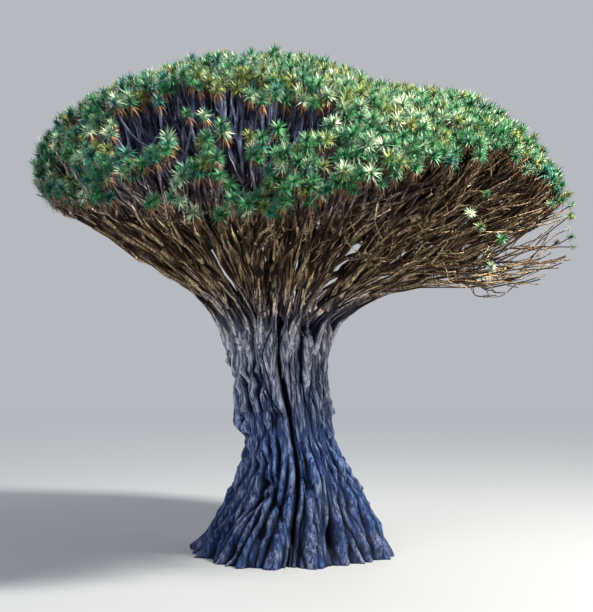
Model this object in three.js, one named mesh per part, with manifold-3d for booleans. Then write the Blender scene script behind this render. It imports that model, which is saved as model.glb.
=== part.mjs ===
// An old dragon blood tree: a fluted trunk on a wide root flare, boughs that fan out from its head,
// and a broad umbrella crown whose masses are forked twigs with tufts of sword leaves.
// Millimetres, +Z up, +X to the right and +Y away from the viewer. The origin is on the ground, in the
// middle of the root flare.

import * as THREE from "three";
import { mergeVertices } from "three/addons/utils/BufferGeometryUtils.js";
import Module from "manifold-3d";

const wasm = await Module();
wasm.setup();

// Driving dimensions of the tree
const TREE_HEIGHT = 17000;
const CROWN_REACH = 9150;
const FOOT_RADIUS = 3450;
const WAIST_RADIUS = 1530;
const FORK_HEIGHT = 7400;

// Trunk
const FLARE_TOP = 3900;
const FLARE_POWER = 1.35;
const VASE_FOOT = 5200;
const VASE_SPREAD = 420;
const LEAN_RIGHT = 90;
const LEAN_LEFT = 520;
const LEAN_TURN = 4000;
const MAIN_RIBS = 12;
const SIDE_RIBS = 2;
const FIRST_RIB_DEG = 15;
const CLEFT_TURN = 0.055;
const DEEPEST_CLEFT = { valley: 25, depth: 420, foot: -1000, top: 6700 };
const LOBE = { turnDeg: 243, height: 2050, span: 1150, fall: 1500, bulge: 200, edge: 350 };
const TRUNK_LEVELS = 16;
const SHOULDER = 0.22;

// Crown shell, which every twig's tip lies on
const REACH_SKEW = 200;
const CROWN_SHIFT = 50;
const WIDEST_HEIGHT = 11800;
const WIDEST_TILT = 800;
const TUCK_DEPTH = 2950;
const TUCK_TILT = 450;
const TUCK_FLAT = 0.3;
const SADDLE_DEPTH = 800;
const SADDLE_X = 3300;
const SADDLE_WIDTH = 2200;
const HUB_HEIGHT = 7500;

// Boughs
const BOUGH_SIDES = 6;
const BOUGH_STEPS = 4;
const BASE_DEPTH = 300;
const GAP = 0.3;
const CLEARANCE = 0.45;
const STEEP_RIGHT = 0.5;

// Twigs and tufts
const TOP_SHARE = 0.7;
const TIP_COUNT = 224;
const BARE_TIP_COUNT = 288;
const TIP_RADIUS = 45;
const PIPE_POWER = 0.38;
const TWIG_SIDES = 3;
const TUFT_RAYS = 6;
const TUFT_REACH = 940;
const TUFT_BODY = 330;
const TUFT_CREST = 0.68 * TUFT_REACH;
const TUFT_INSET = 0.92 * TUFT_CREST;
const SPACE_MARGIN = 15;
const SCRAP_SIZE = 12;
const GOLDEN_ANGLE = Math.PI * (3 - Math.sqrt(5));

const { sin, cos, abs, sqrt, exp, min, max, PI } = Math;
const radians = THREE.MathUtils.degToRad;
const vector = (x, y, z) => new THREE.Vector3(x, y, z);
const UP = vector(0, 0, 1);

// A fixed random number from 0 to 1 for each pair of whole numbers.
function dice(a, b) {
  const wave = sin(a * 12.9898 + b * 78.233 + 0.5) * 43758.5453;
  return wave - Math.floor(wave);
}

function between(low, high, a, b) {
  return low + (high - low) * dice(a, b);
}

// 0 at low, 1 at high, smooth in between.
function ease(low, high, x) {
  const t = min(1, max(0, (x - low) / (high - low)));
  return t * t * (3 - 2 * t);
}

// The angle from b to a, between -PI and PI.
function turnBetween(a, b) {
  return THREE.MathUtils.euclideanModulo(a - b + PI, 2 * PI) - PI;
}

// Trunk: the middle of the trunk at a height.
function trunkMiddle(z) {
  const right = LEAN_RIGHT * sin(PI * min(1, z / LEAN_TURN));
  const left = LEAN_LEFT * ease(0.65 * LEAN_TURN, FORK_HEIGHT, z);
  return vector(right - left, 0, z);
}

// How far the ribs reach from the middle at a height: root flare, waist, then the vase under the boughs.
function trunkReach(z) {
  const flare = max(0, 1 - z / FLARE_TOP) ** FLARE_POWER;
  const vase = max(0, (z - VASE_FOOT) / (FORK_HEIGHT - VASE_FOOT)) ** 2;
  return WAIST_RADIUS + (FOOT_RADIUS - WAIST_RADIUS) * flare + VASE_SPREAD * vase;
}

// The ribs stand round the trunk in turn: a main one that runs up to a bough, then side ones, most of which
// die out on the way up.
const RIBS = Array.from({ length: (1 + SIDE_RIBS) * MAIN_RIBS }, (_, k) => {
  const main = k % (1 + SIDE_RIBS) === 0;
  const key = main ? (2 * k) / (1 + SIDE_RIBS) : 100 + k;
  const step = (2 * PI) / ((1 + SIDE_RIBS) * MAIN_RIBS);
  return {
    main,
    azimuth: radians(FIRST_RIB_DEG) + step * (k + between(-0.27, 0.27, key, 1) * (main ? 1 : 0.5)),
    top: main ? 2 * FORK_HEIGHT : between(3200, 9800, key, 2),
    sway: between(0, 2 * PI, key, 3),
    toe: between(0.86, 1.07, key, 4),
  };
});

// The valleys between the ribs, the one after each rib: how deep a cleft each holds, and from where to where.
const VALLEYS = RIBS.map((_, k) => {
  const foot = between(-2500, 3500, k, 7);
  const cleft = { depth: 60 + 280 * dice(k, 6) ** 2, foot, top: foot + between(2500, 5000, k, 8) };
  return k === DEEPEST_CLEFT.valley ? DEEPEST_CLEFT : cleft;
});

// Neighbours wander together, so ribs never cross.
function ribAzimuth(rib, z) {
  const drift = 1.4 * sin(2 * rib.azimuth + 1) + 0.7 * sin(4 * rib.azimuth);
  const wave = 0.07 * sin(z / 1500 + drift) * ease(0, 900, FORK_HEIGHT - z);
  const turn = 0.05 * sin(2 * rib.azimuth + 2) * (1 - ease(0, FORK_HEIGHT, z));
  return rib.azimuth + wave + turn;
}

function ribReach(rib, z) {
  const flare = ease(0, FLARE_TOP, FLARE_TOP - z);
  const fade = rib.main ? 0 : 0.3 * ease(-900, 300, z - rib.top);
  const swell = 1 + 0.03 * sin(z / 900 + 2 * rib.sway);
  return trunkReach(z) * swell * (1 + (rib.toe - 1) * flare) * (1 - fade);
}

function ribSize(rib, z) {
  const above = ease(VASE_FOOT, FORK_HEIGHT, z);
  return trunkReach(z) * (rib.main ? 0.15 + 0.0444 * above : 0.105 + 0.02 * above);
}

function valleyAzimuth(k, z) {
  const here = ribAzimuth(RIBS[k], z);
  return here + turnBetween(ribAzimuth(RIBS[(k + 1) % RIBS.length], z), here) / 2;
}

// How far a lobe of the foot swells out under its arched upper edge.
function lobe(azimuth, z) {
  const across = (turnBetween(azimuth, radians(LOBE.turnDeg)) * trunkReach(z)) / LOBE.span;
  return LOBE.bulge * ease(0, LOBE.edge, LOBE.height - LOBE.fall * across ** 2 - z) * exp(-(across ** 4));
}

// The trunk's surface in a direction: the core, or whichever rib stands furthest out, cut by the clefts.
function trunkRadius(azimuth, z) {
  let radius = trunkReach(z) * (0.84 - 0.16 * ease(VASE_FOOT, FORK_HEIGHT, z));
  for (const rib of RIBS) {
    const turn = turnBetween(azimuth, ribAzimuth(rib, z));
    const size = ribSize(rib, z);
    const middle = ribReach(rib, z) - size;
    const off = middle * sin(turn);
    if (cos(turn) > 0 && abs(off) < size) {
      radius = max(radius, middle * cos(turn) + sqrt(size * size - off * off));
    }
  }
  let cut = 0;
  for (const [k, cleft] of VALLEYS.entries()) {
    const across = turnBetween(azimuth, valleyAzimuth(k, z)) / CLEFT_TURN;
    const ends = ease(0, 600, cleft.top - z) * ease(0, 600, z - cleft.foot);
    cut = max(cut, cleft.depth * exp(-(across * across)) * ends);
  }
  return radius - cut + lobe(azimuth, z);
}

// The directions of one ring's points, which follow the ribs: both shoulders of each, and each valley.
function ringAzimuths(z) {
  return RIBS.flatMap((rib, k) => {
    const here = ribAzimuth(rib, z);
    const gap = turnBetween(ribAzimuth(RIBS[(k + 1) % RIBS.length], z), here);
    return [SHOULDER, 0.5, 1 - SHOULDER].map((share) => here + gap * share);
  });
}

function trunkSolid() {
  const rings = [];
  for (let level = 0; level <= TRUNK_LEVELS; level++) {
    const z = FORK_HEIGHT * (level / TRUNK_LEVELS) ** 1.15;
    const middle = trunkMiddle(z);
    rings.push(ringAzimuths(z).map((azimuth) => {
      const radius = trunkRadius(azimuth, z);
      return vector(middle.x + radius * cos(azimuth), middle.y + radius * sin(azimuth), z);
    }));
  }
  return loft(rings, trunkMiddle(0), trunkMiddle(FORK_HEIGHT));
}

// A closed solid through rings of points, with a fan to a point at each end. A ring has as many points
// as the one before it, or a multiple of them.
function loft(rings, foot, head) {
  const points = [...rings.flat(), foot, head];
  const footIndex = points.length - 2;
  const headIndex = points.length - 1;
  const faces = [];
  rings[0].forEach((_, n) => faces.push((n + 1) % rings[0].length, n, footIndex));
  let low = 0;
  for (let ring = 0; ring + 1 < rings.length; ring++) {
    const count = rings[ring].length;
    const high = low + count;
    const fan = rings[ring + 1].length / count;
    for (let n = 0; n < count; n++) {
      const next = (n + 1) % count;
      faces.push(low + n, low + next, high + next * fan);
      for (let k = 0; k < fan; k++) {
        const ahead = (n * fan + k + 1) % rings[ring + 1].length;
        faces.push(low + n, high + ahead, high + n * fan + k);
      }
    }
    low = high;
  }
  const last = rings[rings.length - 1].length;
  for (let n = 0; n < last; n++) {
    faces.push(low + n, low + ((n + 1) % last), headIndex);
  }
  return solidFrom(points, faces);
}

function solidFrom(points, faces) {
  const geometry = new THREE.BufferGeometry().setFromPoints(points);
  geometry.setIndex(faces);
  const merged = mergeVertices(geometry, 1e-3);
  return new wasm.Manifold(new wasm.Mesh({
    numProp: 3,
    vertProperties: merged.attributes.position.array,
    triVerts: new Uint32Array(merged.index.array),
  }));
}

function geometryOf(solid) {
  const mesh = solid.getMesh();
  const geometry = new THREE.BufferGeometry();
  geometry.setAttribute("position", new THREE.BufferAttribute(mesh.vertProperties, 3));
  geometry.setIndex(new THREE.BufferAttribute(mesh.triVerts, 1));
  geometry.computeVertexNormals();
  return geometry;
}

// The largest body of a solid: a cut can leave loose scraps beside it.
function wholeOf(solid) {
  return solid.decompose().reduce((best, body) => (body.volume() > best.volume() ? body : best));
}

// A tapering tube along a line of points, with flat ends square to it. It may end in a tuft instead.
function tube(points, radii, sides, endIn) {
  const tangents = points.map((point, n) => {
    const ahead = points[min(n + 1, points.length - 1)];
    return ahead.clone().sub(points[max(n - 1, 0)]).normalize();
  });
  let side = vector(0.31, 0.93, 0.2).cross(tangents[0]).normalize();
  const rings = points.map((point, n) => {
    side = side.clone().addScaledVector(tangents[n], -side.dot(tangents[n])).normalize();
    const across = tangents[n].clone().cross(side);
    return Array.from({ length: sides }, (_, k) => {
      const turn = (2 * PI * k) / sides;
      return point.clone()
        .addScaledVector(side, radii[n] * cos(turn))
        .addScaledVector(across, radii[n] * sin(turn));
    });
  });
  if (!endIn) return loft(rings, points[0], points[points.length - 1]);
  const tuft = endIn(side);
  return loft([...rings, tuft.ring], points[0], tuft.crest);
}

// Crown shell: the point in a direction, so far inside it. Lift is 90 degrees at the top, 0 at the widest
// ring and less where the crown tucks under. The underside is flatter on the right.
function shellPoint(azimuth, lift, inset) {
  const right = cos(azimuth);
  const widest = WIDEST_HEIGHT - WIDEST_TILT * right;
  const above = (TREE_HEIGHT - inset - widest) * max(0, sin(lift));
  const below = (TUCK_DEPTH + TUCK_TILT * right) * max(0, -sin(lift)) ** (1 - TUCK_FLAT * max(0, right));
  const lobes = 1 + 0.014 * sin(5 * azimuth + 1) + 0.012 * sin(8 * azimuth);
  const reach = (CROWN_REACH - inset + REACH_SKEW * right) * cos(lift) * lobes;
  const x = CROWN_SHIFT + reach * right;
  const saddle = SADDLE_DEPTH * exp(-(((x - SADDLE_X) / SADDLE_WIDTH) ** 2)) * max(0, sin(lift));
  return vector(x, reach * sin(azimuth), widest + above - below - saddle);
}

// The lowest lift that has twigs: the right side tucks further under than the left.
function lowestLift(azimuth) {
  return radians(-31 - 9 * cos(azimuth));
}

// How low the leaves hang, by direction: degrees of azimuth and of lift. Twigs below are bare, and so is most
// of the right side under its rim.
const LEAFY_FROM = [
  [0, 10], [20, 8], [40, -4], [60, -13], [90, -14], [180, -13], [220, -15], [245, -12], [262, -12],
  [270, -5], [280, 4], [290, 12], [305, 22], [320, 24], [340, 18], [360, 10],
];

function leafyFrom(azimuth) {
  const turn = THREE.MathUtils.euclideanModulo(THREE.MathUtils.radToDeg(azimuth), 360);
  const next = LEAFY_FROM.findIndex(([at]) => at > turn);
  const [[low, from], [high, to]] = [LEAFY_FROM[next - 1], LEAFY_FROM[next]];
  return radians(THREE.MathUtils.mapLinear(turn, low, high, from, to));
}

// Seen from the front left, the shell is open in a band between the high tier and the low one.
function isWindow(azimuth, lift) {
  const turn = THREE.MathUtils.radToDeg(turnBetween(azimuth, radians(248)));
  const low = 12 + 15 * ease(-20, 32, turn);
  return abs(turn) < 35 && lift > radians(low) && lift < radians(45 - 0.006 * turn ** 2);
}

// Tips spread evenly over the shell, either the leafy ones or the bare ones.
function shellTips(count, leafy) {
  const lowest = sin(lowestLift(0));
  const tips = [];
  for (let n = 0; n < count; n++) {
    const share = (n + between(0.3, 0.7, n, 11)) / count;
    const lift = Math.asin(lowest + (1 - lowest) * share ** TOP_SHARE);
    const azimuth = n * GOLDEN_ANGLE + between(-0.04, 0.04, n, 12);
    const isLeafy = lift > leafyFrom(azimuth);
    if (lift >= lowestLift(azimuth) && !isWindow(azimuth, lift) && isLeafy === leafy) {
      tips.push({ point: shellPoint(azimuth, lift, leafy ? TUFT_INSET : 0), leafy });
    }
  }
  return tips;
}

// Masses of foliage, ring by ring from the rim to the top, at that lift in degrees. A rim, high or top bough
// stands on the trunk's head, foot away from its middle. A shoulder bough forks from the nearest rim bough,
// fork of the way along it. A bough has the first share of its line, and first and bend shape the line.
const RINGS = [
  { name: "rim", count: MAIN_RIBS, lift: -3, foot: 1600, radius: 300, share: 0.4, first: 0.32, bend: 0.62 },
  { name: "shoulder", count: 10, turn: 3, lift: 31, fork: 0.26, radius: 210, share: 0.4, bend: 0.66 },
  { name: "high", count: 6, turn: 40, lift: 58, foot: 820, radius: 260, share: 0.42, first: 0.3, bend: 0.7 },
  { name: "top", count: 1, turn: 0, lift: 90, foot: 0, radius: 260, share: 0.42, first: 0.3, bend: 0.7 },
];

// The line from a bough's foot out to a mass's middle on the shell, steep at first and then spreading. On the
// right it rises more steeply, and then runs out nearly level.
function riseFrom(start, azimuth, seed, ring) {
  const flat = seed.clone().sub(start).setZ(0);
  const climb = seed.z - start.z;
  const at = (out, up) => start.clone().addScaledVector(flat, out).addScaledVector(UP, up * climb);
  if (ring.fork) return new THREE.CubicBezierCurve3(start, at(0.12, 0.34), at(0.62, ring.bend), seed);
  const outward = vector(cos(azimuth), sin(azimuth), 0);
  const steep = 1 + STEEP_RIGHT * max(0, outward.x);
  const first = at(0, ring.first * steep).addScaledVector(outward, 0.22 * ring.first * climb);
  return new THREE.CubicBezierCurve3(start, first, at(0.52, ring.bend), seed);
}

function planMasses() {
  const masses = [];
  for (const [row, ring] of RINGS.entries()) {
    for (let n = 0; n < ring.count; n++) {
      const key = 20 * row + n;
      const azimuth = ring.name === "rim"
        ? RIBS[(1 + SIDE_RIBS) * n].azimuth
        : radians(ring.turn) + (2 * PI * (n + between(-0.1, 0.1, key, 21))) / ring.count;
      const seed = shellPoint(azimuth, radians(ring.lift + between(-2, 2, key, 22)), TUFT_INSET);
      let start;
      let parent;
      if (ring.fork) {
        const near = (mass) => abs(turnBetween(mass.azimuth, azimuth));
        parent = masses.filter((mass) => mass.ring.name === "rim")
          .reduce((best, mass) => (near(mass) < near(best) ? mass : best));
        start = parent.line.getPoint(ring.fork);
      } else {
        start = trunkMiddle(FORK_HEIGHT - BASE_DEPTH)
          .add(vector(ring.foot * cos(azimuth), ring.foot * sin(azimuth), 0));
      }
      const line = riseFrom(start, azimuth, seed, ring);
      masses.push({ name: `${ring.name}_${n + 1}`, key, ring, parent, azimuth, seed, line, tips: [] });
    }
  }
  const hub = trunkMiddle(HUB_HEIGHT);
  for (const mass of masses) {
    mass.direction = mass.seed.clone().sub(hub).normalize();
  }
  return masses;
}

// Each mass keeps to the directions from the hub that are nearest to its own. This moves a point into them.
function keepInside(point, mass, masses, margin) {
  const hub = trunkMiddle(HUB_HEIGHT);
  const kept = point.clone();
  for (let pass = 0; pass < 4; pass++) {
    for (const other of masses) {
      if (other === mass) continue;
      const normal = mass.direction.clone().sub(other.direction).normalize();
      const depth = kept.clone().sub(hub).dot(normal);
      if (depth < margin) kept.addScaledVector(normal, margin - depth);
    }
  }
  return kept;
}

// Shortens a leaf from the tuft's middle so that its point stays in the mass's space.
function shortenInside(centre, point, mass, masses) {
  const hub = trunkMiddle(HUB_HEIGHT);
  let share = 1;
  for (const other of masses) {
    if (other === mass) continue;
    const normal = mass.direction.clone().sub(other.direction).normalize();
    const near = centre.clone().sub(hub).dot(normal) - SPACE_MARGIN;
    const far = point.clone().sub(hub).dot(normal) - SPACE_MARGIN;
    if (far < 0) share = min(share, near / (near - far));
  }
  return centre.clone().lerp(point, share);
}

function ownerOf(point, masses) {
  const direction = point.clone().sub(trunkMiddle(HUB_HEIGHT)).normalize();
  return masses.reduce((best, mass) =>
    (mass.direction.dot(direction) > best.direction.dot(direction) ? mass : best));
}

function pipeRadius(tips, radius) {
  return min(radius, TIP_RADIUS * tips ** PIPE_POWER);
}

function middleOf(tips) {
  const sum = tips.reduce((total, tip) => total.add(tip.point), vector(0, 0, 0));
  return sum.divideScalar(tips.length);
}

// Splits tips in two across the direction in which they spread most.
function splitTips(tips, heading) {
  const middle = middleOf(tips);
  const spreads = [UP.clone(), vector(1, 0, 0), vector(0, 1, 0), vector(1, 1, 0), vector(1, -1, 0)]
    .map((axis) => axis.addScaledVector(heading, -axis.dot(heading)).normalize())
    .map((axis) => ({
      axis,
      width: tips.reduce((sum, tip) => sum + tip.point.clone().sub(middle).dot(axis) ** 2, 0),
    }));
  const { axis } = spreads.reduce((best, one) => (one.width > best.width ? one : best));
  const sorted = [...tips].sort((a, b) => a.point.dot(axis) - b.point.dot(axis));
  const half = Math.round(tips.length / 2);
  return [sorted.slice(half), sorted.slice(0, half)];
}

// The twig rule: a twig goes part of the way to the middle of its tips and forks, until each has one tip.
// Half of the tips keep the twig, and the rest start a new one from inside it.
function growTwigs(twig, tips, heading, grown, inside) {
  const here = twig.points[twig.points.length - 1];
  if (tips.length === 1) {
    twig.points.push(tips[0].point);
    twig.radii.push(TIP_RADIUS);
    twig.tip = tips[0];
    grown.push(twig);
    return;
  }
  const levels = Math.log2(tips.length) + 1;
  const stride = between(0.9, 1.15, tips.length, grown.length) / levels;
  const step = middleOf(tips).sub(here).multiplyScalar(stride);
  step.addScaledVector(heading, 0.25 * step.length());
  const radius = pipeRadius(tips.length, twig.radii[twig.radii.length - 1]);
  const fork = inside(here.clone().add(step), radius);
  const onward = fork.clone().sub(here).normalize();
  twig.points.push(fork);
  twig.radii.push(radius);
  const [first, second] = splitTips(tips, onward);
  const branch = { points: [fork], radii: [pipeRadius(second.length, 0.9 * radius)] };
  growTwigs(twig, first, onward, grown, inside);
  growTwigs(branch, second, onward, grown, inside);
}

// A tuft of sword leaves at a twig's end: a ring of rays, by turns low and high, round an upright one.
// Side is the twig's own sideways direction, so that the ring lines up with the twig's corners.
function tuft(tip, axis, side, within, key) {
  const along = side.clone().addScaledVector(axis, -side.dot(axis)).normalize();
  const across = axis.clone().cross(along);
  const at = (turn, radius, height) => within(
    tip,
    tip.clone()
      .addScaledVector(along, radius * cos(turn))
      .addScaledVector(across, radius * sin(turn))
      .addScaledVector(axis, height),
  );
  const ring = [];
  for (let ray = 0; ray < TUFT_RAYS; ray++) {
    const turn = (2 * PI * (ray + between(-0.12, 0.12, key, 32 + ray))) / TUFT_RAYS;
    const lift = radians(ray % 2 ? between(30, 48, key, 40 + ray) : between(-6, 14, key, 40 + ray));
    const reach = TUFT_REACH * between(0.88, 1.05, key, 50 + ray);
    ring.push(at(turn, reach * cos(lift), reach * sin(lift)));
    ring.push(at((2 * PI * (ray + 0.5)) / TUFT_RAYS, TUFT_BODY, 0.3 * TUFT_BODY));
  }
  return { ring, crest: at(0, 0, TUFT_CREST) };
}

// Solids: trunk, then each mass's bough, then its twigs and tufts.
const masses = planMasses();
const tips = [...shellTips(TIP_COUNT, true), ...shellTips(BARE_TIP_COUNT, false)];
for (const tip of tips) ownerOf(tip.point, masses).tips.push(tip);

function boughLine(mass) {
  const points = [];
  for (let step = 0; step <= BOUGH_STEPS; step++) {
    points.push(mass.line.getPoint((mass.ring.share * step) / BOUGH_STEPS));
  }
  return points;
}

function boughRadii(mass, grow = 0) {
  const tipRadius = pipeRadius(max(6, mass.tips.length), 190) * 1.25;
  return Array.from({ length: BOUGH_STEPS + 1 }, (_, step) =>
    THREE.MathUtils.lerp(mass.ring.radius, tipRadius, (step / BOUGH_STEPS) ** 0.8) + grow);
}

function boughSolid(mass, grow = 0) {
  return tube(boughLine(mass), boughRadii(mass, grow), BOUGH_SIDES);
}

function massSolid(mass) {
  const line = boughLine(mass);
  const end = line[line.length - 1];
  const heading = end.clone().sub(line[line.length - 2]).normalize();
  const stemRadius = boughRadii(mass)[BOUGH_STEPS];
  const inside = (point, margin) => keepInside(point, mass, masses, margin + SPACE_MARGIN);
  const stem = {
    points: [GAP, 1.2 * stemRadius].map((along) => end.clone().addScaledVector(heading, along)),
    radii: [stemRadius, stemRadius],
  };
  for (const tip of mass.tips) tip.point = inside(tip.point, 2 * TIP_RADIUS);
  const twigs = [];
  growTwigs(stem, mass.tips, heading, twigs, inside);
  const within = (centre, point) => shortenInside(centre, point, mass, masses);
  const pieces = twigs.map((twig, n) => {
    if (!twig.tip.leafy) return tube(twig.points, twig.radii, TWIG_SIDES);
    const [before, tip] = twig.points.slice(-2);
    const onward = tip.clone().sub(before).normalize();
    const outward = tip.clone().sub(trunkMiddle(HUB_HEIGHT)).normalize();
    const axis = onward.addScaledVector(outward, 0.6).addScaledVector(UP, 0.8).normalize();
    const endIn = (side) => tuft(tip, axis, side, within, 100 * mass.key + n);
    return tube(twig.points, twig.radii, TWIG_SIDES, endIn);
  });
  return wasm.Manifold.union(pieces).simplify(SCRAP_SIZE);
}

const bark = new THREE.MeshStandardMaterial({ color: 0x4a5364, roughness: 0.95, metalness: 0 });
const limbBark = new THREE.MeshStandardMaterial({ color: 0x5c4d40, roughness: 0.95, metalness: 0 });
const foliage = new THREE.MeshStandardMaterial({ color: 0x3f5f4c, roughness: 0.6, metalness: 0 });

const tree = new THREE.Group();

function addNode(name, solid, material) {
  const mesh = new THREE.Mesh(geometryOf(solid), material);
  mesh.name = name;
  tree.add(mesh);
}

addNode("trunk", trunkSolid(), bark);
for (const mass of masses) {
  let bough = boughSolid(mass);
  if (mass.parent) {
    bough = bough.subtract(boughSolid(mass.parent, CLEARANCE));
  } else {
    bough = bough.trimByPlane([0, 0, 1], FORK_HEIGHT + GAP);
  }
  addNode(`bough_${mass.name}`, wholeOf(bough), limbBark);
  addNode(`foliage_${mass.name}`, wholeOf(massSolid(mass)), foliage);
}

export default tree;
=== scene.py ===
"""An old dragon blood tree, dressed round its solids: a fluted trunk, boughs that fan out from its head,
twigs that fork by the solids' own rule, and tufts of sword leaves.
Metres, +Z up, +X to the right and +Y away from the viewer."""

import math

import bpy
import numpy as np
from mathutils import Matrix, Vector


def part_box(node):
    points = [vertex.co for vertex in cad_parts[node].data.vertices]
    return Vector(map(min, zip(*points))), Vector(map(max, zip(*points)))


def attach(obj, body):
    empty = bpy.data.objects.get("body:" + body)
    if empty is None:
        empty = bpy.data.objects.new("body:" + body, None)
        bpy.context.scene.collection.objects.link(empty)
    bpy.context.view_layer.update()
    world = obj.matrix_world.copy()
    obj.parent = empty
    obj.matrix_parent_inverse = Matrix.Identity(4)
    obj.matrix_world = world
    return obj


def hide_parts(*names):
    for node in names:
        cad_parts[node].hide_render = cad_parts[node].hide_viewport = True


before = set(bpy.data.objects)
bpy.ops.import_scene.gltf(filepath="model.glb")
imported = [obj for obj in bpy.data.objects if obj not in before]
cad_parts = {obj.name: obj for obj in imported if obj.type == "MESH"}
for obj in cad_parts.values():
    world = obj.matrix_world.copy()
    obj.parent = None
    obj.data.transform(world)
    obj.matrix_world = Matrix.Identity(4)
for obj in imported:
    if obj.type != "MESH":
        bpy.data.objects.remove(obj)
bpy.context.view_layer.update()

# Driving dimensions, the same as the solids'
TREE_HEIGHT = 17.0
CROWN_REACH = 9.15
FOOT_RADIUS = 3.45
WAIST_RADIUS = 1.53
FORK_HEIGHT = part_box("trunk")[1].z

# Trunk
FLARE_TOP = 3.9
FLARE_POWER = 1.35
VASE_FOOT = 5.2
VASE_SPREAD = 0.42
LEAN_RIGHT = 0.09
LEAN_LEFT = 0.52
LEAN_TURN = 4.0
MAIN_RIBS = 12
SIDE_RIBS = 2
FIRST_RIB = math.radians(15)
RIB_JITTER = (-0.27, 0.27)
RIB_TOE = (0.86, 1.07)
SIDE_RIB_TOP = (3.2, 9.8)
CLEFT_TURN = 0.055
CLEFT_FOOT = (-2.5, 3.5)
CLEFT_LENGTH = (2.5, 5)
SHALLOWEST_CLEFT = 0.06
CLEFT_DEPTHS = 0.28
DEEPEST_CLEFT = {"valley": 25, "depth": 0.42, "foot": -1.0, "top": 6.7}

# Shares of the trunk's reach: a rib's radius and the core's, and how much each changes up to the fork
MAIN_RIB_SIZE = (0.15, 0.0444)
SIDE_RIB_SIZE = (0.105, 0.02)
CORE_SIZE = (0.84, -0.16)
HEAD_RIB_SHRINK = 0.85
HEAD_RIB_SHIFT = 0.1

# A lobe of the foot: its middle, its arched upper edge and how far it stands out
LOBE = {"turn": math.radians(243), "height": 2.05, "span": 1.15, "fall": 1.5, "bulge": 0.2, "edge": 0.35}

# Crown shell, which every twig's tip lies on
REACH_SKEW = 0.2
CROWN_SHIFT = 0.05
WIDEST_HEIGHT = 11.8
WIDEST_TILT = 0.8
TUCK_DEPTH = 2.95
TUCK_TILT = 0.45
TUCK_FLAT = 0.3
SADDLE_DEPTH = 0.8
SADDLE_X = 3.3
SADDLE_WIDTH = 2.2
HUB_HEIGHT = 7.5
SEED_INSET = 0.59
TOP_SHARE = 0.7
GOLDEN_ANGLE = math.pi * (3 - math.sqrt(5))
BASE_DEPTH = 0.3
STEEP_RIGHT = 0.5

# The two kinds of tip, finer than the solids': how many there are, how thick and how long the last shoot is,
# how far its twig turns it, and how freely tips change sides where a twig forks
LEAFY = {"leafy": True, "count": 4700, "radius": 0.04, "shoot": 0.7, "turn": 0.5, "crossing": 0.45}
BARE = {"leafy": False, "count": 2100, "radius": 0.018, "shoot": 0.7, "turn": 0.9, "crossing": 1.5}
TUFT_INSET = 0.2
TUFT_DEPTH = 0.45
TUFT_OUT = (0.7, 1.1)
TUFT_UP = (0.45, 0.85)
LEAFY_SHOOTS = (0.7, 1.3)
TALLER_ON_TOP = 1.2
BARE_DEPTH = 3.4
BARE_NEAR_SHELL = 1.6
BARE_RISE = 0.1
BARE_ASIDE = (-0.7, 0.7)
BARE_UP = (0.1, 1.1)
BARE_SHOOTS = (0.6, 1.4)
PIPE_POWER = 0.38

# Where the leaves begin, by direction: degrees of azimuth, and of lift
LEAFY_FROM = (
    (0, 10), (20, 8), (40, -4), (60, -13), (90, -14), (180, -13), (220, -15), (245, -12), (262, -12),
    (270, -5), (280, 4), (290, 12), (305, 22), (320, 24), (340, 18), (360, 10),
)

UP = np.array([0.0, 0.0, 1.0])


def dice(a, b):
    """A fixed random number from 0 to 1 for each pair of whole numbers, the same as the solids'."""
    wave = math.sin(a * 12.9898 + b * 78.233 + 0.5) * 43758.5453
    return wave - math.floor(wave)


def between(low, high, a, b):
    return low + (high - low) * dice(a, b)


def ease(low, high, x):
    """0 at low, 1 at high, smooth in between."""
    t = np.clip((x - low) / (high - low), 0, 1)
    return t * t * (3 - 2 * t)


def turn_between(a, b):
    """The angle from b to a, between -pi and pi."""
    return (a - b + math.pi) % (2 * math.pi) - math.pi


def unit(vector):
    return vector / np.linalg.norm(vector)


def level_direction(azimuth):
    return np.array([math.cos(azimuth), math.sin(azimuth), 0])


# Trunk surface


def trunk_lean(z):
    right = LEAN_RIGHT * np.sin(math.pi * np.minimum(1, z / LEAN_TURN))
    return right - LEAN_LEFT * ease(0.65 * LEAN_TURN, FORK_HEIGHT, z)


def trunk_middle(z):
    return np.array([float(trunk_lean(z)), 0.0, z])


def trunk_reach(z):
    """How far the ribs reach from the middle: root flare, waist, then the vase under the boughs."""
    flare = np.maximum(0, 1 - z / FLARE_TOP) ** FLARE_POWER
    vase = np.clip((z - VASE_FOOT) / (FORK_HEIGHT - VASE_FOOT), 0, 1) ** 2
    return WAIST_RADIUS + (FOOT_RADIUS - WAIST_RADIUS) * flare + VASE_SPREAD * vase


def make_rib(k):
    main = k % (1 + SIDE_RIBS) == 0
    key = 2 * k // (1 + SIDE_RIBS) if main else 100 + k
    step = math.tau / ((1 + SIDE_RIBS) * MAIN_RIBS)
    return {
        "main": main,
        "azimuth": FIRST_RIB + step * (k + between(*RIB_JITTER, key, 1) * (1 if main else 0.5)),
        "top": 2 * FORK_HEIGHT if main else between(*SIDE_RIB_TOP, key, 2),
        "sway": between(0, math.tau, key, 3),
        "toe": between(*RIB_TOE, key, 4),
    }


def make_valley(k):
    """The valley after rib k: how deep a cleft it holds, and from where to where."""
    if k == DEEPEST_CLEFT["valley"]:
        return DEEPEST_CLEFT
    foot = between(*CLEFT_FOOT, k, 7)
    depth = SHALLOWEST_CLEFT + CLEFT_DEPTHS * dice(k, 6) ** 2
    return {"depth": depth, "foot": foot, "top": foot + between(*CLEFT_LENGTH, k, 8)}


RIBS = [make_rib(k) for k in range((1 + SIDE_RIBS) * MAIN_RIBS)]
VALLEYS = [make_valley(k) for k in range(len(RIBS))]


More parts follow.
